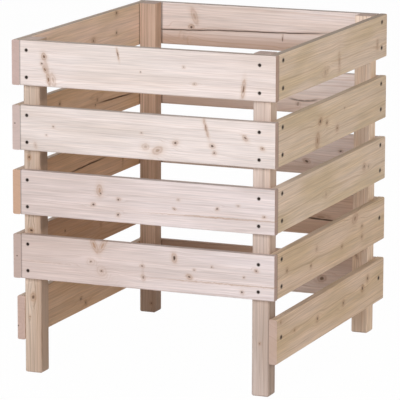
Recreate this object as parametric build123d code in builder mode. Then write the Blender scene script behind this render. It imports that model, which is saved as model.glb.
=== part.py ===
"""Slatted wooden compost bin: boards screwed to the outer faces of four corner posts.

The boards overlap at the corners like a pinwheel: each one butts against its neighbour
at one end and runs on past its post to cover the next neighbour at the other end.
The front has no lowest board, so compost can be taken out there.
"""

import os

from build123d import *

# Timber, planed spruce
board_thickness = 22
board_height = 120
board_edge_radius = 4
post_width = 48
post_edge_radius = 4
foot_chamfer = 3

# Lengths as sawn
front_board_length = 720
side_board_length = 840

# Layout of the boards, counted from the top
board_gap = 53
ground_gap = 88
front_rows = 4
wall_rows = 5

# Countersunk wood screws
screw_length = 50
screw_diameter = 4.5
screw_tip_length = 7
head_diameter = 8.4
head_angle = 90
head_sink = 1
recess_length = 4.2
recess_width = 1.2
recess_depth = 1.7

# Room for a screw in the wood
board_hole_clearance = 0.5
pilot_clearance = 0.2
tip_clearance = 1

# Screw places: in from the post's outer face at the butting and at the covering end
front_butt_inset = 20
front_cover_inset = 22
side_butt_inset = 31
side_cover_inset = 20

# Screw places: from a board's upper and lower edge, and above its middle for a single screw
front_upper_drop = 26
front_lower_rise = 22
front_single_rise = -8
side_upper_drop = 18
side_lower_rise = 30
side_single_rise = 8

# Worked out from the sizes above
row_pitch = board_height + board_gap
post_length = wall_rows * row_pitch - board_gap + ground_gap
front_span = front_board_length - board_thickness
side_span = side_board_length - board_thickness
half_front = front_span / 2
half_side = side_span / 2
head_radius = head_diameter / 2
screw_radius = screw_diameter / 2
pilot_radius = (screw_diameter + pilot_clearance) / 2
board_hole_radius = (screw_diameter + board_hole_clearance) / 2
pilot_depth = screw_length + head_sink - board_thickness + tip_clearance

# Each wall's plane lies on the outer faces of its two posts: x runs along the boards
# from their butting end, y is height above the ground and z points out of the bin.
wall_planes = {
    "front": Plane(origin=(-half_front, -half_side, 0), x_dir=(1, 0, 0), z_dir=(0, -1, 0)),
    "right": Plane(origin=(half_front, -half_side, 0), x_dir=(0, 1, 0), z_dir=(1, 0, 0)),
    "back": Plane(origin=(half_front, half_side, 0), x_dir=(-1, 0, 0), z_dir=(0, 1, 0)),
    "left": Plane(origin=(-half_front, half_side, 0), x_dir=(0, -1, 0), z_dir=(-1, 0, 0)),
}
wall_spans = {"front": front_span, "right": side_span, "back": front_span, "left": side_span}
wall_row_counts = {"front": front_rows, "right": wall_rows, "back": wall_rows, "left": wall_rows}

# Board ends held by one screw instead of two
single_screw_ends = {
    "right_board_4": ("cover",),
    "right_board_5": ("butt", "cover"),
    "back_board_5": ("butt", "cover"),
    "left_board_5": ("butt", "cover"),
}

# The lowest left board stops at its post, because no front board stands there to be covered
short_boards = ("left_board_5",)

# Each post carries the butting end of one wall and the covering end of another
post_walls = {
    "front_left_post": ("front", "left"),
    "front_right_post": ("right", "front"),
    "back_right_post": ("back", "right"),
    "back_left_post": ("left", "back"),
}


def runs_across(wall):
    """True for the walls whose boards run from left to right."""
    return wall in ("front", "back")


def board_name(wall, row):
    """The label of a board, by its wall and its row from the top."""
    return f"{wall}_board_{row}"


def board_top(row):
    """Height of a board's upper edge; row 1 is level with the tops of the posts."""
    return post_length - (row - 1) * row_pitch


def screw_points(wall, row, end):
    """Screw places of one board end, on the wall's plane."""
    if runs_across(wall):
        inset = front_butt_inset if end == "butt" else front_cover_inset
        upper_drop, lower_rise, single_rise = front_upper_drop, front_lower_rise, front_single_rise
    else:
        inset = side_butt_inset if end == "butt" else side_cover_inset
        upper_drop, lower_rise, single_rise = side_upper_drop, side_lower_rise, side_single_rise
    along = inset if end == "butt" else wall_spans[wall] - inset
    top = board_top(row)
    bottom = top - board_height
    if end in single_screw_ends.get(board_name(wall, row), ()):
        return [(along, (top + bottom) / 2 + single_rise)]
    return [(along, top - upper_drop), (along, bottom + lower_rise)]


def wall_end_points(wall, end):
    """Screw places of all the boards of a wall at one of their ends."""
    rows = range(1, wall_row_counts[wall] + 1)
    return [point for row in rows for point in screw_points(wall, row, end)]


def make_post(name):
    """A square post with rounded edges and a screw hole for every screw it holds."""
    butt_wall, cover_wall = post_walls[name]
    corner = wall_planes[butt_wall].origin
    inward_x = Align.MIN if corner.X < 0 else Align.MAX
    inward_y = Align.MIN if corner.Y < 0 else Align.MAX
    with BuildPart() as post:
        with BuildSketch(Plane.XY):
            with Locations((corner.X, corner.Y)):
                Rectangle(post_width, post_width, align=(inward_x, inward_y))
        extrude(amount=post_length)
        fillet(post.edges().filter_by(Axis.Z), radius=post_edge_radius)
        chamfer(post.faces().sort_by(Axis.Z)[0].edges(), length=foot_chamfer)
        with Locations(wall_planes[butt_wall]):
            with Locations(*wall_end_points(butt_wall, "butt")):
                Hole(pilot_radius, depth=pilot_depth)
        with Locations(wall_planes[cover_wall]):
            with Locations(*wall_end_points(cover_wall, "cover")):
                Hole(pilot_radius, depth=pilot_depth)
    post.part.label = name
    return post.part


def make_board(wall, row):
    """A board with rounded long edges and countersunk holes for its screws."""
    inner_face = wall_planes[wall]
    head_plane = inner_face.offset(board_thickness - head_sink)
    length = wall_spans[wall]
    if board_name(wall, row) not in short_boards:
        length += board_thickness
    lengthwise = Axis.X if runs_across(wall) else Axis.Y
    with BuildPart() as board:
        with BuildSketch(inner_face):
            with Locations((0, board_top(row))):
                Rectangle(length, board_height, align=(Align.MIN, Align.MAX))
        extrude(amount=board_thickness)
        fillet(board.edges().filter_by(lengthwise), radius=board_edge_radius)
        with Locations(head_plane):
            with Locations(*screw_points(wall, row, "butt"), *screw_points(wall, row, "cover")):
                CounterSinkHole(board_hole_radius, head_radius, counter_sink_angle=head_angle)
    board.part.label = board_name(wall, row)
    return board.part


# One screw, its head's rim at the origin and its point down
with BuildPart() as screw:
    with BuildSketch(Plane.XZ):
        with BuildLine():
            head = PolarLine((head_radius, 0), head_radius - screw_radius, angle=-90 - head_angle / 2,
                             length_mode=LengthMode.HORIZONTAL)
            Polyline(
                head @ 1,
                (screw_radius, screw_tip_length - screw_length),
                (0, -screw_length),
                (0, 0),
                (head_radius, 0),
            )
        make_face()
    revolve(axis=Axis.Z)
    with BuildSketch(Plane.XY):
        Rectangle(recess_length, recess_width)
        Rectangle(recess_width, recess_length)
    extrude(amount=-recess_depth, mode=Mode.SUBTRACT)


def make_screws(wall):
    """All the screws of one wall, as separate solids."""
    with BuildPart() as screws:
        with Locations(wall_planes[wall].offset(board_thickness - head_sink)):
            with Locations(*wall_end_points(wall, "butt"), *wall_end_points(wall, "cover")):
                add(screw.part)
    screws.part.label = f"{wall}_screws"
    return screws.part


pieces = [make_post(name) for name in post_walls]
for wall, rows in wall_row_counts.items():
    pieces += [make_board(wall, row) for row in range(1, rows + 1)]
    pieces.append(make_screws(wall))

os.makedirs("parts", exist_ok=True)
for piece in pieces:
    export_step(piece, f"parts/{piece.label}.step")
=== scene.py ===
import math

import bmesh
import bpy
from mathutils import Matrix, Vector


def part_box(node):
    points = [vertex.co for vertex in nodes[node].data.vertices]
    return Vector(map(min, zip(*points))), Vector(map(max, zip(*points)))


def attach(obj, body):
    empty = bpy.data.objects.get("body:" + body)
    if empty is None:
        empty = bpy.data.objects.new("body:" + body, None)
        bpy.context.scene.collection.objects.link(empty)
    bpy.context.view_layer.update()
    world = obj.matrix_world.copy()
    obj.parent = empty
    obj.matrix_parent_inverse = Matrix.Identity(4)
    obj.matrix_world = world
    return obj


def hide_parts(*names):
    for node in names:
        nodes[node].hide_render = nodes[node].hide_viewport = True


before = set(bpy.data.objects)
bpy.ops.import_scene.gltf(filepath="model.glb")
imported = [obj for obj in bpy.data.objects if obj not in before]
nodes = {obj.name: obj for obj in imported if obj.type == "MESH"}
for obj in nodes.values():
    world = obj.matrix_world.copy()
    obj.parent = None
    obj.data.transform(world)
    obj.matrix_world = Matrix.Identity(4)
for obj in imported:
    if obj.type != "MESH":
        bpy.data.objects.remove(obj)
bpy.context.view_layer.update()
mm = 0.001
print("frame loaded:", len(nodes), "nodes")


# sRGB hex to the linear colour that Blender works in
def hexColor(text):
    channels = [int(text[i:i + 2], 16) / 255 for i in (1, 3, 5)]
    return (*[c / 12.92 if c <= 0.04045 else ((c + 0.055) / 1.055) ** 2.4 for c in channels], 1.0)


# one node with its settings and inputs: values or links, in socket order (None skips one) or by name
def addNode(tree, kind, *inputs, named=None, **settings):
    node = tree.nodes.new(kind)
    for key, value in settings.items():
        setattr(node, key, value)
    given = list(zip(node.inputs, inputs))
    given += [(node.inputs[name], value) for name, value in (named or {}).items()]
    for socket, value in given:
        if isinstance(value, bpy.types.NodeSocket):
            tree.links.new(value, socket)
        elif value is not None:
            socket.default_value = value
    return node.outputs


# an empty node group with sockets given as (name, kind) pairs
def newGroup(name, inputs, outputs):
    group = bpy.data.node_groups.new(name, "ShaderNodeTree")
    for direction, sockets in (("INPUT", inputs), ("OUTPUT", outputs)):
        for label, kind in sockets:
            group.interface.new_socket(label, in_out=direction, socket_type="NodeSocket" + kind)
    return group, addNode(group, "NodeGroupInput")


def newMaterial(name):
    material = bpy.data.materials.new(name)
    material.use_nodes = True
    material.node_tree.nodes.clear()
    return material, material.node_tree


def dress(node, material):
    nodes[node].data.materials.clear()
    nodes[node].data.materials.append(material)


# knot: a branch cut across. It gives the eye a dark pith, a soft brown body, and grain that flows round it.
# The same mark, with no bend, also lays stains and painted shade on a face.
# Distances are in mark radii, so 1 is the mark's rim: where the dark core, body and stain end, and where they are
# full.
markForm = {
    "heartAndShade": (0.62, 0.18), "body": (1.42, 0.4), "stainAndShade": (2.6, 0.6),
    "ringTurns": 8.9, "ringDepth": 0.45,                    # faint rings in the body
    "bendStretch": 0.42, "bendFall": -0.45,                 # how far along and out the grain bends
    "through": 1000,                                        # mm, so a knot shows on both faces of a board
}


# One axis of a place is read by a dot product. With Separate XYZ nodes instead, the shader of a board with 40
# marks grows too big and the board renders black.
def makeMarkGroup():
    running = [(name, "Float") for name in ("HeartAndShade", "Body", "StainAndShade", "Bend")]
    group, given = newGroup(
        "knotStainAndShadeMark",
        [("Place", "Vector"), ("Push", "Float"), ("Brown", "Float"), ("Dark", "Float")] + running, running)
    place, push, brown, dark = list(given)[:4]
    heartAndShade, body, stainAndShade, bend = list(given)[4:8]
    away = addNode(group, "ShaderNodeVectorMath", place, operation="LENGTH")[1]
    turns = addNode(group, "ShaderNodeMath", away, markForm["ringTurns"], operation="MULTIPLY")[0]
    turns = addNode(group, "ShaderNodeMath", turns, operation="SINE")[0]
    # a mark that doesn't push the grain aside has no rings
    ringShare = addNode(group, "ShaderNodeMath", push, markForm["ringDepth"], operation="MINIMUM")[0]
    rings = addNode(group, "ShaderNodeMath", turns, ringShare, 1.0, operation="MULTIPLY_ADD")[0]
    ringed = addNode(group, "ShaderNodeMath", brown, rings, operation="MULTIPLY")[0]
    results = []
    for before, edge, depth in ((heartAndShade, "heartAndShade", dark), (body, "body", ringed), (stainAndShade, "stainAndShade", brown)):
        here = addNode(group, "ShaderNodeMapRange", away, *markForm[edge], 0.0, depth,
                       interpolation_type="SMOOTHSTEP")[0]
        results.append(addNode(group, "ShaderNodeMath", before, here, operation="MAXIMUM")[0])
    # the grain is pushed up above the knot and down below it
    flat = addNode(group, "ShaderNodeVectorMath", place, (markForm["bendStretch"], 1, 1), operation="MULTIPLY")[0]
    square = addNode(group, "ShaderNodeVectorMath", flat, flat, operation="DOT_PRODUCT")[1]
    fall = addNode(group, "ShaderNodeMath", square, markForm["bendFall"], operation="MULTIPLY")[0]
    fall = addNode(group, "ShaderNodeMath", fall, operation="EXPONENT")[0]
    side = addNode(group, "ShaderNodeVectorMath", place, (0, 1, 0), operation="DOT_PRODUCT")[1]
    lift = addNode(group, "ShaderNodeMath", side, fall, operation="MULTIPLY")[0]
    results.append(addNode(group, "ShaderNodeMath", lift, push, bend, operation="MULTIPLY_ADD")[0])
    addNode(group, "NodeGroupOutput", *results)
    return group


# spruce as solid wood: growth rings round a pith that mostly lies off the piece, so that faces, edges and
# sawn ends agree. Sizes in mm; rings, fibres and knots are drawn coarser than in life so that they show.
spruceForm = {
    "warp": (260, 42, 42), "warpDepth": 6.5,                # slow wander of the rings
    "fibre": (90, 2.6, 2.6), "fibreTint": 0.13,             # fine streaks along the grain
    "patch": (320, 60, 60), "patchRange": (0.32, 0.68),     # pale and tan areas
    "band": (520, 15, 15), "bandTint": 0.08,                # long faint stripes
    "streak": (170, 4, 4), "streakTint": 0.07,              # shorter, narrower ones
    "tintRange": (0.25, 0.75),                              # of a noise, from its dark to its light end
    "detail": {"warp": 3.0, "fibre": 3.0, "patch": 2.0, "band": 1.0, "streak": 2.0},
    "noiseRoughness": 0.5,
    "unevenScale": 0.4, "unevenDetail": 1.0,                # rings differ in width and depth
    "unevenness": 2.0, "weakYear": 0.05,
    "late": (0.35, 0.9), "lateEnd": 0.96,                   # where in a ring the dark wood lies
    "lineDepth": 0.5, "endLineDepth": 0.8,
    "endFacing": (0.6, 0.85), "endDepth": 0.78,             # sawn ends are rough and hold grey dust
    "upperShade": "#8C7B6F", "upperShadeFacing": (0.72, 0.95),          # painted shade: upper faces are darker, most of all in the open top row
    "upperShadeDepth": {"top": 0.72, "front": 0.42, "right": 0.18, "back": 0.32, "left": 0.6},
    "arrisHighlightFacing": (0.2, 0.45, 0.72, 0.9),                  # painted highlight: the rounded upper edge is lighter
    "arrisHighlightTint": 0.09,
    "pithRadius": (2.4, 1.2), "pithColor": "#4A382C",
    "stainAndShade": "#C4A184", "stainAndShadeDepth": 0.4,
    # the darkest colour: a knot's heart, and the painted shade of shade marks, splits, screws and joints
    "body": "#A98161", "bodyDepth": 0.85, "heartAndShade": "#402C1F",
    "roughRange": (0.3, 0.7), "roughness": (0.58, 0.74), "ior": 1.53, "specular": 0.35,
    "fibreHeight": 0.5, "bumpStrength": 0.35, "bumpDepth": 0.3,
    "seedStep": (831.0, 277.0, 149.0),                      # each piece is cut from its own place in the noise
}


def makeSpruceGroup():
    form = spruceForm
    group, given = newGroup(
        "planedSpruceGrain",
        [("Position", "Vector"), ("Shift", "Vector"), ("Pith", "Vector"), ("Lean", "Float"), ("Ring", "Float"),
         ("HeartAndShade", "Float"), ("Body", "Float"), ("StainAndShade", "Float"), ("Bend", "Float"),
         ("End", "Float"), ("UpperShade", "Float"), ("ArrisHighlight", "Float"),
         ("Pale", "Color"), ("Tan", "Color"), ("Late", "Color"), ("Sawn", "Color")],
        [("Color", "Color"), ("Roughness", "Float"), ("Height", "Float")])
    position, shift, pith, lean, ring = list(given)[:5]
    heartAndShade, body, stainAndShade, bend, end, upperShade, arrisHighlight = list(given)[5:12]
    pale, tan, late, sawn = list(given)[12:16]
    moved = addNode(group, "ShaderNodeVectorMath", position, shift, operation="ADD")[0]
    clouds = {}
    for name, detail in form["detail"].items():
        spot = addNode(group, "ShaderNodeVectorMath", moved, form[name], operation="DIVIDE")[0]
        clouds[name] = addNode(group, "ShaderNodeTexNoise", spot, None, 1.0, detail, form["noiseRoughness"])[0]

    # years counted out from the pith, which leans along the piece
    warp = addNode(group, "ShaderNodeMapRange", clouds["warp"], 0.0, 1.0, -form["warpDepth"], form["warpDepth"])[0]
    along = addNode(group, "ShaderNodeVectorMath", position, (1, 0, 0), operation="DOT_PRODUCT")[1]
    drift = addNode(group, "ShaderNodeMath", along, lean, operation="MULTIPLY")[0]
    drift = addNode(group, "ShaderNodeCombineXYZ", along, drift, 0.0)[0]
    reach = addNode(group, "ShaderNodeVectorMath", position, pith, operation="SUBTRACT")[0]
    reach = addNode(group, "ShaderNodeVectorMath", reach, drift, operation="SUBTRACT")[0]
    radius = addNode(group, "ShaderNodeVectorMath", reach, operation="LENGTH")[1]
    center = addNode(group, "ShaderNodeMapRange", radius, *form["pithRadius"], 0.0, 1.0)[0]
    radius = addNode(group, "ShaderNodeMath", radius, warp, operation="ADD")[0]
    radius = addNode(group, "ShaderNodeMath", radius, bend, operation="SUBTRACT")[0]
    years = addNode(group, "ShaderNodeMath", radius, ring, operation="DIVIDE")[0]
    uneven = addNode(group, "ShaderNodeTexNoise", None, years, form["unevenScale"], form["unevenDetail"],
                     form["noiseRoughness"], noise_dimensions="1D")[0]
    years = addNode(group, "ShaderNodeMath", uneven, form["unevenness"], years, operation="MULTIPLY_ADD")[0]
    season = addNode(group, "ShaderNodeMath", years, operation="FRACT")[0]
    year = addNode(group, "ShaderNodeMath", years, operation="FLOOR")[0]
    strong = addNode(group, "ShaderNodeTexWhiteNoise", None, year, noise_dimensions="1D")[0]
    strong = addNode(group, "ShaderNodeMapRange", strong, 0.0, 1.0, form["weakYear"], 1.0)[0]
    rise = addNode(group, "ShaderNodeMapRange", season, *form["late"], 0.0, 1.0,
                   interpolation_type="SMOOTHSTEP")[0]
    drop = addNode(group, "ShaderNodeMapRange", season, form["lateEnd"], 1.0, 1.0, 0.0)[0]
    line = addNode(group, "ShaderNodeMath", rise, drop, operation="MULTIPLY")[0]
    line = addNode(group, "ShaderNodeMath", line, strong, operation="MULTIPLY")[0]

    # colour: patches, year lines, stripes and fibres, then the painted highlight and painted shade of upper edges,
    # the ends, and knots, stains and painted shade marks over them
    patch = addNode(group, "ShaderNodeMapRange", clouds["patch"], *form["patchRange"], 0.0, 1.0,
                    interpolation_type="SMOOTHSTEP")[0]
    color = addNode(group, "ShaderNodeMixRGB", patch, pale, tan)[0]
    depth = addNode(group, "ShaderNodeMapRange", end, 0.0, 1.0, form["lineDepth"], form["endLineDepth"])[0]
    depth = addNode(group, "ShaderNodeMath", depth, line, operation="MULTIPLY")[0]
    color = addNode(group, "ShaderNodeMixRGB", depth, color, late)[0]
    for name in ("band", "streak", "fibre"):
        tint = form[name + "Tint"]
        level = addNode(group, "ShaderNodeMapRange", clouds[name], *form["tintRange"], 1 - tint, 1 + tint)[0]
        color = addNode(group, "ShaderNodeVectorMath", color, None, None, level, operation="SCALE")[0]
    color = addNode(group, "ShaderNodeVectorMath", color, None, None, arrisHighlight, operation="SCALE")[0]
    soak = addNode(group, "ShaderNodeMath", end, form["endDepth"], operation="MULTIPLY")[0]
    color = addNode(group, "ShaderNodeMixRGB", soak, color, sawn)[0]
    color = addNode(group, "ShaderNodeMixRGB", upperShade, color, hexColor(form["upperShade"]))[0]
    color = addNode(group, "ShaderNodeMixRGB", center, color, hexColor(form["pithColor"]))[0]
    stainAndShade = addNode(group, "ShaderNodeMath", stainAndShade, form["stainAndShadeDepth"], operation="MULTIPLY")[0]
    color = addNode(group, "ShaderNodeMixRGB", stainAndShade, color, hexColor(form["stainAndShade"]))[0]
    body = addNode(group, "ShaderNodeMath", body, form["bodyDepth"], operation="MULTIPLY")[0]
    color = addNode(group, "ShaderNodeMixRGB", body, color, hexColor(form["body"]))[0]
    color = addNode(group, "ShaderNodeMixRGB", heartAndShade, color, hexColor(form["heartAndShade"]))[0]

    rough = addNode(group, "ShaderNodeMapRange", clouds["fibre"], *form["roughRange"], *form["roughness"])[0]
    height = addNode(group, "ShaderNodeMath", clouds["fibre"], form["fibreHeight"], line,
                     operation="MULTIPLY_ADD")[0]
    addNode(group, "NodeGroupOutput", color, rough, height)
    return group


knotStainAndShadeMark = makeMarkGroup()
planedSpruceGrain = makeSpruceGroup()
print("wood groups made")

# splits in the inner faces, where the wood dried and opened: path as along and up, width at the face and depth,
# mm, and how dark the painted shade in and beside them is
splits = {
    "back_board_1": {"path": [(735, 43), (654, 42), (582, 43), (484, 48), (377, 50), (286, 51), (160, 57)],
                     "wide": 2.6, "deep": 11, "dark": 0.4},
    "back_board_2": {"path": [(252, 39), (232, 36), (212, 35), (194, 36.5), (178, 40)],
                     "wide": 3.0, "deep": 10, "dark": 0.5},
    "back_board_4": {"path": [(196, 47), (156, 45), (126, 44)], "wide": 3.8, "deep": 10, "dark": 0.95},
    "left_board_2": {"path": [(315, 48), (215, 45), (115, 42)], "wide": 3.8, "deep": 11, "dark": 0.6},
    "left_board_3": {"path": [(512, 57), (410, 60), (310, 61)], "wide": 4.2, "deep": 11, "dark": 0.6},
}
splitForm = {
    "step": 6.0, "taper": 70.0, "taperPower": 0.7, "leastOpening": 0.05,    # pointed ends that never quite close
    "wander": 0.45, "waves": (6.1, 15.7), "waveShift": 2,
    "outside": 1.5, "floorShare": 0.12, "weld": 0.001, "sharpAngle": 30,
    # the painted shade in and beside a split: its height and depth, mm, how far along each part reaches, and its
    # brown
    "markHigh": 5.5, "markDeep": 16.0, "markReach": 0.28, "brown": 0.3,
}

# screws: places along and up each kind of board and the middle one where an end has a single screw, mm.
# Round a driven head the wood is darkened: crushed wood, and painted shade in the countersink.
screwPlaces = {
    "front": {"ends": (20, 676), "up": (94, 22), "single": 52, "half": (11.5, 11.5, 12), "dark": 0.8},
    "side": {"ends": (31, 798), "up": (102, 30), "single": 68, "half": (20, 14, 12), "dark": 1.0},
}
singleEnds = {
    "right_board_4": (798,), "right_board_5": (31, 798),
    "back_board_5": (20, 676), "left_board_5": (31, 798),
}
boardThickness = 22

# joints: dust and shade along a board's butting end, unless that end stands free, and beside the posts inside,
# as along and through, mm
jointPlaces = {"front": [(0, 22)], "right": [(0, 22)], "back": [(0, 22), (649, 0)], "left": [(0, 22), (49, 0)]}
jointForm = {"up": 60, "half": (7, 400, 10), "dark": 0.52, "freeEnd": "right_board_5"}


# the marks of splits, screws and joints, painted shade in part, as along, up, through, half sizes, tilt, brown and
# dark
def splitMarks(node):
    marks = []
    if node in splits:
        path = splits[node]["path"]
        for (a, b), (c, d) in zip(path, path[1:]):
            half = math.hypot(c - a, d - b) / 2 / splitForm["markReach"]
            marks.append(((a + c) / 2, (b + d) / 2, 0, (half, splitForm["markHigh"], splitForm["markDeep"]),
                          math.degrees(math.atan((d - b) / (c - a))), splitForm["brown"], splits[node]["dark"]))
    return marks


def screwMarks(node):
    if "_board_" not in node:
        return []
    places = screwPlaces["front" if node.split("_")[0] in ("front", "back") else "side"]
    marks = []
    for along in places["ends"]:
        single = along in singleEnds.get(node, ())
        for up in (places["single"],) if single else places["up"]:
            marks.append((along, up, boardThickness, places["half"], 0, 0.0, places["dark"]))
    return marks


def jointMarks(node):
    if "_board_" not in node or node == jointForm["freeEnd"]:
        return []
    return [(along, jointForm["up"], through, jointForm["half"], 0, 0.0, jointForm["dark"])
            for along, through in jointPlaces[node.split("_")[0]]]


knotWobble = {"size": 9.0, "depth": 5.0, "detail": 2.0, "roughness": 0.5}    # knots aren't true ovals, mm


# planed spruce of one piece: dull, pale wood with thin darker lines along it and arcs on its sawn ends.
# toPiece takes the row's metres to the piece's own, whose first axis runs along the grain.
def planedSpruce(name, toPiece, look):
    form = spruceForm
    material, tree = newMaterial("planedSpruce_" + name)
    turn = toPiece.to_3x3()
    where = addNode(tree, "ShaderNodeTexCoord")["Object"]
    place = addNode(tree, "ShaderNodeMapping", where, toPiece.to_translation() / mm, turn.to_euler(),
                    [1 / mm] * 3)[0]
    normal = addNode(tree, "ShaderNodeNewGeometry")["True Normal"]
    facing = addNode(tree, "ShaderNodeVectorMath", normal, turn[0], operation="DOT_PRODUCT")[1]
    facing = addNode(tree, "ShaderNodeMath", facing, operation="ABSOLUTE")[0]
    end = addNode(tree, "ShaderNodeMapRange", facing, *form["endFacing"], 0.0, 1.0)[0]
    upperShade, arrisHighlight = 0.0, 1.0
    # a board's upper faces get painted shade, and its rounded upper edge a painted highlight
    if "_board_" in name:
        upward = addNode(tree, "ShaderNodeVectorMath", normal, (0, 0, 1), operation="DOT_PRODUCT")[1]
        depth = form["upperShadeDepth"]["top" if name.endswith("_1") else name.split("_")[0]]
        upperShade = addNode(tree, "ShaderNodeMapRange", upward, *form["upperShadeFacing"], 0.0, depth)[0]
        start, full, fade, stop = form["arrisHighlightFacing"]
        rising = addNode(tree, "ShaderNodeMapRange", upward, start, full, 0.0, form["arrisHighlightTint"])[0]
        falling = addNode(tree, "ShaderNodeMapRange", upward, fade, stop, 1.0, 0.0)[0]
        arrisHighlight = addNode(tree, "ShaderNodeMath", rising, falling, 1.0, operation="MULTIPLY_ADD")[0]

    shift = [look["seed"] * step for step in form["seedStep"]]
    wobble = addNode(tree, "ShaderNodeVectorMath", place, shift, operation="ADD")[0]
    wobble = addNode(tree, "ShaderNodeTexNoise", wobble, None, 1 / knotWobble["size"], knotWobble["detail"],
                     knotWobble["roughness"])[1]
    wobble = addNode(tree, "ShaderNodeVectorMath", wobble, (0.5, 0.5, 0.5), operation="SUBTRACT")[0]
    wobble = addNode(tree, "ShaderNodeVectorMath", wobble, [knotWobble["depth"]] * 3, place,
                     operation="MULTIPLY_ADD")[0]
    marks = (0.0, 0.0, 0.0, 0.0)
    for along, up, halfLong, halfHigh, tilt, brown, dark in look["knots"]:
        spot = addNode(tree, "ShaderNodeMapping", wobble, (along, up, 0), (0, 0, math.radians(tilt)),
                       (halfLong, halfHigh, markForm["through"]), vector_type="TEXTURE")[0]
        marks = addNode(tree, "ShaderNodeGroup", spot, min(halfLong, halfHigh), brown, dark, *marks,
                        node_tree=knotStainAndShadeMark)
    # shallow marks, stains and painted shade, sit at a depth of their own and leave the grain straight
    shallow = look.get("stainsAndShades", []) + splitMarks(name) + screwMarks(name) + jointMarks(name)
    for along, up, through, half, tilt, brown, dark in shallow:
        spot = addNode(tree, "ShaderNodeMapping", place, (along, up, through), (0, 0, math.radians(tilt)), half,
                       vector_type="TEXTURE")[0]
        marks = addNode(tree, "ShaderNodeGroup", spot, 0.0, brown, dark, *marks, node_tree=knotStainAndShadeMark)
    tones = [hexColor(tone) for tone in (*look["tones"], look.get("sawn", sawnTone))]
    grain = addNode(tree, "ShaderNodeGroup", place, shift, (0, *look["pith"]), look["lean"], look["ring"],
                    *marks, end, upperShade, arrisHighlight, *tones, node_tree=planedSpruceGrain)
    bump = addNode(tree, "ShaderNodeBump", named={
        "Strength": form["bumpStrength"], "Distance": form["bumpDepth"] * mm, "Height": grain[2]})[0]
    surface = addNode(tree, "ShaderNodeBsdfPrincipled", named={
        "Base Color": grain[0], "Roughness": grain[1], "Normal": bump,
        "IOR": form["ior"], "Specular IOR Level": form["specular"]})[0]
    addNode(tree, "ShaderNodeOutputMaterial", surface)
    return material


# a piece's own axes in the row frame: along the grain, then across, then through. Boards run from their butting
# end, up from their lower edge and out from their inner face; posts up from the ground, then along X and Y.
pieceAxes = {
    "front": ((1, 0, 0), (0, 0, 1), (0, -1, 0)),
    "right": ((0, 1, 0), (0, 0, 1), (1, 0, 0)),
    "back": ((-1, 0, 0), (0, 0, 1), (0, 1, 0)),
    "left": ((0, -1, 0), (0, 0, 1), (-1, 0, 0)),
    "post": ((0, 0, 1), (1, 0, 0), (0, 1, 0)),
}


def pieceFrame(node):
    turn = Matrix(pieceAxes["post" if node.endswith("_post") else node.split("_")[0]])
    low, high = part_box(node)
    start = Vector(low[i] if sum(turn.col[i]) > 0 else high[i] for i in range(3))
    return Matrix.Translation(-(turn @ start)) @ turn.to_4x4()


# each piece's wood. Tones are the pale, tan and ring-line colours; sawn is the colour of its ends where it isn't
# the usual one. Tones differ from wall to wall partly as painted light and shade: paler on the back boards, the
# top front board and the back right post, darker on the lower left boards and the back left post.
# Pith gives its place across and through, lean how it climbs along the piece, ring a year's width.
# Knots go through the piece: along, up, half length, half height, tilt, brown, dark. Stains and shades lie on one
# side of it: along, up, through, half sizes, tilt, brown, dark. A few are stains, streaks and evened tone; the
# rest
# are painted shade where less light falls: the back boards' lower strips, the top front board's lower half and the
# posts. All sizes in mm.
sawnTone = "#C0A7A0"
greySawn = "#A88A7E"
pinkTones = ("#E9DED9", "#DED1C9", "#CCB7AA")
rosyTones = ("#E9DDDB", "#DCCFCB", "#C3ABA1")
tanTones = ("#EBD9C9", "#DBC8AD", "#B4926C")
brownTones = ("#E7D1BE", "#D8C1A3", "#AC8761")
topTones = ("#F4E8E4", "#E9DAD2", "#D0B6A6")
innerTones = ("#DDBB9F", "#D0AD8C", "#BD9773")
backTones = ("#EBD6C8", "#E0C8B7", "#C8A993")
postTones = ("#DBC8B7", "#CBB5A2", "#7A5C44")
shadeTones = ("#DABDA8", "#C4A48C", "#6E4B34")
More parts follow.
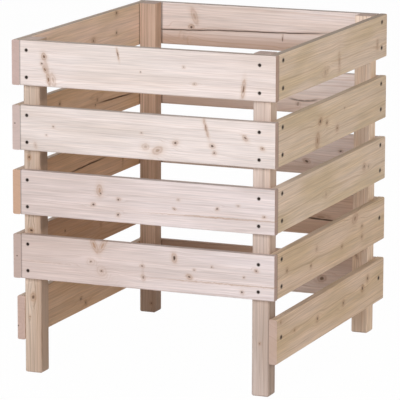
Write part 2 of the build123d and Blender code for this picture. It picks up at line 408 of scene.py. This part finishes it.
woodLooks = {
    "front_board_1": {
        "tones": ("#F6EDEA", "#EBE0DA", "#D2BEB3"), "sawn": greySawn,
        "pith": (-80, -70), "lean": 0.01, "ring": 4.5,
        # browner ends, painted shade over the lower half, and a streak among the knots
        "stainsAndShades": [(700, 60, 22, (260, 200, 200), 0, .2, 0), (0, 60, 22, (160, 200, 200), 0, .15, 0),
                   (360, 0, 22, (2400, 70, 200), 0, .12, 0), (79, 48, 22, (7, 32, 40), 14, .5, 0)],
        "knots": [(71, 80, 8, 11, 15, .8, .6), (65, 61, 6, 5, 0, .6, .9), (74, 46, 6, 12, 25, .8, .5),
                  (84, 20, 6, 17, 12, .8, .4), (97, 20, 8, 20, 14, .5, 0), (282, 98, 3, 15, 12, .75, .8),
                  (346, 56, 4, 4, 0, .35, .7), (467, 76, 6, 5, 0, .4, .35), (497, 34, 7, 5, 0, .45, .3),
                  (632, 30, 6, 26, -6, .75, .5)]},
    "front_board_2": {
        "tones": pinkTones, "sawn": greySawn, "pith": (220, -60), "lean": -0.012, "ring": 4.8,
        "knots": [(97, 69, 4, 4, 0, .35, .7), (77, 45, 4, 4, 0, .25, .35), (45, 16, 5, 9, 20, .3, .1),
                  (349, 70, 4, 4, 0, .3, .6), (444, 50, 9, 7, 20, .5, .85), (394, 27, 16, 10, 25, .55, .15),
                  (360, 34, 11, 9, 0, .4, .1), (529, 95, 4, 24, 16, .65, .4), (547, 49, 9, 7, -20, .45, .9),
                  (553, 31, 6, 6, 0, .45, .6), (638, 76, 6, 10, 45, .55, .75), (685, 52, 7, 5, -20, .6, .5)]},
    "front_board_3": {
        "tones": rosyTones, "sawn": greySawn, "pith": (-60, -80), "lean": 0.015, "ring": 4.5,
        "stainsAndShades": [(60, 60, 22, (260, 110, 200), 0, .12, 0)],
        "knots": [(229, 82, 9, 16, 0, .6, 0), (232, 75, 5, 6, 0, .3, .85), (211, 43, 8, 6, 10, .5, .85),
                  (283, 62, 7, 6, 0, .5, .8), (282, 21, 7, 6, 30, .45, .9), (441, 49, 6, 4, -20, .5, .5),
                  (452, 74, 6, 4, 0, .35, .3), (561, 58, 6, 5, 30, .4, .7), (619, 71, 5, 4, 0, .35, .35),
                  (691, 47, 5, 4, 0, .5, .7), (560, 35, 190, 1.5, 0.4, .55, 0)]},
    "front_board_4": {
        "tones": rosyTones, "sawn": greySawn, "pith": (-90, -60), "lean": 0.02, "ring": 4.8,
        # painted shade towards the left end, and a streak
        "stainsAndShades": [(50, 60, 22, (280, 120, 200), 0, .24, 0), (352, 50, 22, (5, 34, 40), 2, .22, 0)],
        "knots": [(213, 107, 8, 26, 27, .7, 0), (237, 107, 8, 24, -27, .6, 0), (203, 62, 14, 12, 0, .4, 0),
                  (203, 62, 5, 4.5, 0, .5, .75), (234, 40, 17, 15, -30, .4, 0), (234, 40, 6, 5, -30, .5, .75),
                  (72, 49, 55, 3, 0, .4, 0), (350, 63, 9, 5, 0, .45, .5), (353, 33, 7, 10, 15, .45, .45),
                  (441, 92, 8, 14, 10, .6, 1), (497, 65, 5, 4, 0, .4, .7), (547, 77, 5, 4, 0, .35, .6),
                  (484, 45, 10, 7, -25, .6, .75), (636, 57, 5, 4, 0, .35, .55), (631, 17, 6, 6, 0, .4, .95),
                  (670, 77, 7, 5, -20, .5, .6), (590, 35, 170, 1.5, 0.4, .6, 0)]},
    "right_board_1": {
        "tones": tanTones, "pith": (-80, -50), "lean": -0.012, "ring": 6,
        "knots": [(345, 26, 14, 14, 0, .3, .15), (362, 30, 10, 10, 0, .25, .1), (453, 40, 10, 28, 4, .35, .15),
                  (762, 44, 10, 14, 0, .45, .15)]},
    "right_board_2": {
        "tones": ("#E7D5C3", "#D8C5AA", "#B28F69"), "pith": (200, -50), "lean": 0.015, "ring": 6,
        "knots": [(310, 73, 16, 10, 10, .7, .8), (361, 61, 11, 8, 0, .55, .6), (442, 34, 12, 9, 0, .55, .35),
                  (290, 25, 16, 22, -15, .65, .2), (500, 80, 9, 4, 0, .3, .4)]},
    "right_board_3": {
        "tones": tanTones, "pith": (-60, -70), "lean": 0.01, "ring": 5.6,
        "knots": [(664, 64, 16, 11, 0, .5, .4), (700, 58, 9, 6, 0, .4, .4), (360, 40, 9, 9, 0, .3, .2)]},
    "right_board_4": {
        "tones": brownTones, "pith": (190, -40), "lean": -0.012, "ring": 6,
        "knots": [(594, 104, 26, 14, 10, .55, .25), (652, 72, 12, 7, 0, .5, .5), (653, 42, 12, 10, 0, .45, .35),
                  (490, 46, 12, 8, 0, .45, .4), (292, 78, 10, 8, 0, .4, .2), (249, 40, 10, 7, 0, .5, .7),
                  (70, 64, 12, 9, 0, .45, .5)]},
    "right_board_5": {
        "tones": brownTones, "sawn": "#BBA195", "pith": (-60, -60), "lean": 0.015, "ring": 6,
        "knots": [(705, 86, 11, 11, 0, .6, .7), (663, 66, 13, 12, 10, .65, .8), (507, 58, 12, 10, 10, .5, .6),
                  (303, 58, 12, 10, 10, .5, .6), (130, 65, 9, 6, 0, .4, .35), (28, 108, 8, 6, 0, .45, .3)]},
    # the back boards' shades: painted shade along their lower edges, where the front boards shade them, and on the
    # lowest one at its upper left
    "back_board_1": {
        "tones": topTones, "pith": (-70, 90), "lean": 0.012, "ring": 8,
        "stainsAndShades": [(360, 0, 0, (2400, 34, 200), 0, .65, 0)],
        "knots": [(558, 53, 10, 8, 0, .6, .8), (548, 84, 9, 26, -20, .45, 0), (578, 20, 22, 16, 40, .4, .1),
                  (280, 34, 4, 16, 5, .55, .7)]},
    "back_board_2": {
        "tones": ("#FBF0EC", "#F1E3DB", "#D8BFAF"), "pith": (190, 80), "lean": -0.01, "ring": 8,
        "stainsAndShades": [(620, 0, 0, (420, 46, 200), 0, .6, 0)],
        "knots": [(232, 26, 10, 14, 0, .4, .3), (480, 70, 10, 8, 0, .5, .7)]},
    "back_board_3": {
        "tones": topTones, "pith": (-60, 80), "lean": 0.012, "ring": 7.5,
        "stainsAndShades": [(360, 0, 0, (2400, 30, 200), 0, .3, 0)],
        "knots": [(204, 36, 12, 8, 15, .5, .8), (102, 72, 8, 6, 0, .4, .8), (510, 60, 9, 9, 0, .5, .7)]},
    "back_board_4": {
        "tones": backTones, "pith": (180, 90), "lean": 0.01, "ring": 8,
        "stainsAndShades": [(360, 0, 0, (2400, 40, 200), 0, .4, 0)],
        "knots": [(160, 52, 30, 9, 0, .45, .2), (430, 70, 9, 8, 0, .5, .8), (610, 40, 8, 7, 0, .5, .6)]},
    "back_board_5": {
        "tones": topTones, "pith": (-70, 70), "lean": -0.012, "ring": 8,
        "stainsAndShades": [(660, 110, 0, (560, 60, 200), 0, .8, .3)],
        "knots": [(155, 47, 15, 11, -20, .6, .6), (360, 80, 8, 7, 0, .5, .6), (590, 55, 10, 8, 0, .5, .8)]},
    "left_board_1": {
        "tones": ("#F0D7C7", "#E5CDB4", "#D8BC9F"), "sawn": "#BAA19D",
        "pith": (-80, 70), "lean": 0.01, "ring": 6,
        "knots": [(209, 112, 12, 9, 0, .5, .6), (210, 56, 9, 8, 0, .4, .7), (367, 54, 14, 10, 0, .5, .4),
                  (640, 70, 9, 8, 0, .5, .7)]},
    "left_board_2": {
        "tones": ("#E6C8AF", "#D9B999", "#C5A27F"), "sawn": "#C7B6B5",
        "pith": (71, 14.5), "lean": 0, "ring": 8,
        "knots": [(343, 59, 10, 10, 0, .45, .4), (356, 47, 8, 7, 0, .45, .6), (590, 85, 10, 9, 0, .5, .7)]},
    "left_board_3": {
        "tones": innerTones, "sawn": "#C8A38C", "pith": (-70, 60), "lean": 0.012, "ring": 6,
        "knots": [(166, 40, 6, 26, 8, .5, .4), (650, 45, 9, 8, 0, .5, .7)]},
    "left_board_4": {
        "tones": ("#C7A58B", "#BB977A", "#AA8362"), "sawn": "#C2B0AB",
        "pith": (60, 11.5), "lean": 0, "ring": 8,
        "knots": [(321, 47, 12, 14, -10, .45, .15), (560, 75, 8, 8, 0, .5, .8)]},
    "left_board_5": {
        "tones": ("#E3C7AC", "#D6B594", "#BC9671"), "pith": (37, 20), "lean": 0, "ring": 8,
        "knots": [(459, 36, 10, 7, 0, .5, .7), (426, 18, 12, 9, 20, .5, .6), (180, 70, 10, 9, 0, .5, .7)]},
    "front_left_post": {
        "tones": postTones, "pith": (-50, 30), "lean": 0.003, "ring": 5.5,
        # painted shade on its side face, most in the gaps between the front boards, and under the top board
        "stainsAndShades": [(450, 48, 24, (4000, 13, 900), 0, .3, .12), (754, 24, 24, (70, 900, 900), 0, 0, .07),
                   (754, 48, 24, (50, 6, 900), 0, .4, .4), (581, 48, 24, (50, 6, 900), 0, .4, .4),
                   (408, 48, 24, (50, 6, 900), 0, .4, .4)],
        "knots": [(585, 15.5, 8, 6, 0, .7, .8), (388, 20.5, 7, 9, 0, .7, .9), (207, 24.5, 12, 9, 0, .6, .7),
                  (153, 14.5, 5, 4, 0, .4, .6)]},
    "front_right_post": {
        "tones": ("#DECDC3", "#D2BFB2", "#A08470"), "pith": (100, 25), "lean": -0.003, "ring": 5.5,
        # painted shade on the low part of its side face and towards its foot
        "stainsAndShades": [(100, 48, 24, (600, 13, 900), 0, .15, .38), (0, 24, 24, (900, 900, 900), 0, 0, .17)],
        "knots": [(141, 22.5, 6, 4, 0, .5, .7), (520, 30, 7, 6, 0, .5, .6)]},
    "back_left_post": {
        "tones": shadeTones, "pith": (-55, 20), "lean": 0.002, "ring": 5,
        # painted shade at its foot; a little darker at its top
        "stainsAndShades": [(0, 24, 24, (420, 900, 900), 0, 0, .37), (900, 24, 24, (420, 900, 900), 0, 0, .14)],
        "knots": [(27, 36, 6, 5, 0, .6, .9), (480, 20, 8, 7, 0, .5, .6)]},
    "back_right_post": {
        "tones": ("#F9E7D7", "#EFD9C3", "#C8A37F"), "pith": (95, 30), "lean": 0.003, "ring": 5.5,
        "knots": [(330, 18, 8, 7, 0, .5, .7), (246, 30, 16, 7, 35, .7, .35), (222, 12, 12, 5, -30, .5, .2),
                  (700, 28, 7, 7, 0, .5, .6)]},
}

wood = {}
for seed, (node, look) in enumerate(woodLooks.items(), start=1):
    wood[node] = planedSpruce(node, pieceFrame(node), dict(look, seed=seed))
    dress(node, wood[node])
print("planed spruce on", len(wood), "pieces")


# height of a split's middle at a place along the board, with a little wander
def splitHeight(path, along):
    short, long = splitForm["waves"]
    for (a, b), (c, d) in zip(path, path[1:]):
        if c <= along <= a:
            level = b + (d - b) * (a - along) / (a - c)
            waves = math.sin(along / short) + math.sin(along / long + splitForm["waveShift"])
            return level + splitForm["wander"] * waves
    return path[-1][1]


# a split's room as a closed wedge: wide at the board's face and thin at its floor
def splitCutter(split):
    first, last = split["path"][0][0], split["path"][-1][0]
    count = round((first - last) / splitForm["step"])
    cutter = bmesh.new()
    rows = []
    for i in range(count + 1):
        along = first + (last - first) * i / count
        nearEnd = min(i, count - i) / count * (first - last)
        opened = min(1.0, nearEnd / splitForm["taper"]) ** splitForm["taperPower"]
        opened = max(opened, splitForm["leastOpening"])
        half = split["wide"] / 2 * opened
        middle = splitHeight(split["path"], along)
        thin = half * splitForm["floorShare"]
        corners = [(middle - half, -splitForm["outside"]), (middle + half, -splitForm["outside"]),
                   (middle + thin, split["deep"] * opened), (middle - thin, split["deep"] * opened)]
        rows.append([cutter.verts.new((along * mm, up * mm, out * mm)) for up, out in corners])
    for near, far in zip(rows, rows[1:]):
        for i in range(4):
            j = (i + 1) % 4
            cutter.faces.new((near[i], near[j], far[j], far[i]))
    cutter.faces.new(rows[0][::-1])
    cutter.faces.new(rows[-1])
    bmesh.ops.recalc_face_normals(cutter, faces=cutter.faces)
    mesh = bpy.data.meshes.new("splitCutter")
    cutter.to_mesh(mesh)
    cutter.free()
    return bpy.data.objects.new("splitCutter", mesh)


def splitBoard(node, split):
    board = bpy.data.objects.new(node + "_split", nodes[node].data.copy())
    for layer in [layer for layer in board.data.attributes if layer.name == "custom_normal"]:
        board.data.attributes.remove(layer)    # the row's normals don't fit the cut faces
    shape = bmesh.new()
    shape.from_mesh(board.data)
    bmesh.ops.remove_doubles(shape, verts=shape.verts, dist=splitForm["weld"] * mm)
    shape.to_mesh(board.data)
    shape.free()
    cutter = splitCutter(split)
    cutter.matrix_world = pieceFrame(node).inverted()
    cutter.data.materials.append(wood[node])
    for thing in (board, cutter):
        bpy.context.scene.collection.objects.link(thing)
    carve = board.modifiers.new("split", "BOOLEAN")
    carve.operation = "DIFFERENCE"
    carve.solver = "EXACT"
    carve.object = cutter
    bpy.context.view_layer.update()
    carved = bpy.data.meshes.new_from_object(board.evaluated_get(bpy.context.evaluated_depsgraph_get()))
    board.modifiers.clear()
    board.data = carved
    board.data.shade_smooth()
    board.data.set_sharp_from_angle(angle=math.radians(splitForm["sharpAngle"]))
    bpy.data.objects.remove(cutter)
    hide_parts(node)
    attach(board, "root")
    print("split", node, len(board.data.vertices), "vertices")


for node, split in splits.items():
    splitBoard(node, split)

# phosphated steel: a thin dark grey-brown coat that dulls the metal; the coat's crystals are drawn coarse, per mm
steelForm = {"grains": 0.9, "detail": 2.0, "noiseRoughness": 0.6, "coat": "#3A2E27", "worn": "#241D19",
             "roughRange": (0.3, 0.7), "roughness": (0.45, 0.65), "metallic": 0.7}


def phosphatedSteel():
    form = steelForm
    material, tree = newMaterial("phosphatedSteel")
    where = addNode(tree, "ShaderNodeTexCoord")["Object"]
    cloud = addNode(tree, "ShaderNodeTexNoise", where, None, form["grains"] / mm, form["detail"],
                    form["noiseRoughness"])[0]
    color = addNode(tree, "ShaderNodeMixRGB", cloud, hexColor(form["coat"]), hexColor(form["worn"]))[0]
    rough = addNode(tree, "ShaderNodeMapRange", cloud, *form["roughRange"], *form["roughness"])[0]
    steel = addNode(tree, "ShaderNodeBsdfPrincipled",
                    named={"Base Color": color, "Roughness": rough, "Metallic": form["metallic"]})[0]
    addNode(tree, "ShaderNodeOutputMaterial", steel)
    return material


screwSteel = phosphatedSteel()
for node in [name for name in nodes if name.endswith("_screws")]:
    dress(node, screwSteel)
print("screws coated")

# studio: white floor and surround, a large soft light in front, a weaker one on the right and one behind
studio = {"floorSize": 40.0, "floorColor": "#F2F0EE", "floorGlow": 0.985,
          "wallLight": "#FFEEDD", "wallStrength": 0.18, "ceilingStrength": 0.13, "ceilingFrom": 0.8}
# soft boxes: watts, edge length in m, place and colour
softBoxes = {
    "keySoftbox": {"power": 348, "size": 3.0, "place": (0.69, -6.74, 2.99), "color": "#F8FAFF"},
    "sideSoftbox": {"power": 40.5, "size": 2.0, "place": (3.80, -0.33, 1.84), "color": "#FFF4E6"},
    "backSoftbox": {"power": 66, "size": 2.0, "place": (-2.90, 2.80, 1.70), "color": "#FFF8F0"},
}
lightAim = Vector((0, -0.2, 0.6))


# 1 for rays that should see plain white instead of the light: the camera's, mirror-like and see-through ones
def seenWhite(tree):
    rays = addNode(tree, "ShaderNodeLightPath")
    seen = addNode(tree, "ShaderNodeMath", rays["Is Camera Ray"], rays["Is Glossy Ray"], operation="MAXIMUM")[0]
    return addNode(tree, "ShaderNodeMath", seen, rays["Is Transmission Ray"], operation="MAXIMUM")[0]


def makeFloor():
    half = studio["floorSize"] / 2
    mesh = bpy.data.meshes.new("studioFloor")
    corners = [(-half, -half, 0), (half, -half, 0), (half, half, 0), (-half, half, 0)]
    mesh.from_pydata(corners, [], [(0, 1, 2, 3)])
    floor = bpy.data.objects.new("studioFloor", mesh)
    bpy.context.scene.collection.objects.link(floor)
    material, tree = newMaterial("paleFloor")
    glow = addNode(tree, "ShaderNodeMath", seenWhite(tree), studio["floorGlow"], operation="MULTIPLY")[0]
    paint = addNode(tree, "ShaderNodeBsdfDiffuse", hexColor(studio["floorColor"]))[0]
    white = addNode(tree, "ShaderNodeEmission", (1, 1, 1, 1), 1.0)[0]
    addNode(tree, "ShaderNodeOutputMaterial", addNode(tree, "ShaderNodeMixShader", glow, paint, white)[0])
    mesh.materials.append(material)


def makeSurround():
    world = bpy.data.worlds.new("studioSurround")
    bpy.context.scene.world = world
    world.use_nodes = True
    tree = world.node_tree
    tree.nodes.clear()
    up = addNode(tree, "ShaderNodeSeparateXYZ", addNode(tree, "ShaderNodeTexCoord")["Generated"])[2]
    level = addNode(tree, "ShaderNodeMapRange", up, 0.0, studio["ceilingFrom"],
                    studio["wallStrength"], studio["ceilingStrength"])[0]
    light = addNode(tree, "ShaderNodeBackground", hexColor(studio["wallLight"]), level)[0]
    white = addNode(tree, "ShaderNodeBackground", (1, 1, 1, 1), 1.0)[0]
    mixed = addNode(tree, "ShaderNodeMixShader", seenWhite(tree), light, white)[0]
    addNode(tree, "ShaderNodeOutputWorld", mixed)


def makeSoftBox(name, box):
    lamp = bpy.data.lights.new(name, "AREA")
    lamp.energy = box["power"]
    lamp.size = box["size"]
    lamp.color = hexColor(box["color"])[:3]
    holder = bpy.data.objects.new(name, lamp)
    holder.location = box["place"]
    holder.rotation_euler = (lightAim - holder.location).to_track_quat("-Z", "Y").to_euler()
    bpy.context.scene.collection.objects.link(holder)


# the photograph's viewpoint, for a square picture: place in m, angles in degrees, lens and sensor in mm
viewpoint = {"place": (3.2143, -7.8565, 2.0959), "turn": 22.331, "down": 11.159, "roll": 0.158,
             "lens": 285.2, "sensor": 36.0}


def makeCamera():
    lens = bpy.data.cameras.new("photoView")
    lens.sensor_width = viewpoint["sensor"]
    lens.lens = viewpoint["lens"]
    camera = bpy.data.objects.new("photoView", lens)
    camera.location = viewpoint["place"]
    turn, tip, roll = [Matrix.Rotation(math.radians(angle), 3, axis) for angle, axis in (
        (viewpoint["turn"], "Z"), (90 - viewpoint["down"], "X"), (viewpoint["roll"], "Z"))]
    camera.rotation_euler = (turn @ tip @ roll).to_euler()
    bpy.context.scene.collection.objects.link(camera)
    bpy.context.scene.camera = camera


makeFloor()
makeSurround()
for name, box in softBoxes.items():
    makeSoftBox(name, box)
makeCamera()
bpy.context.scene.view_settings.view_transform = "Standard"
print("studio and camera set")
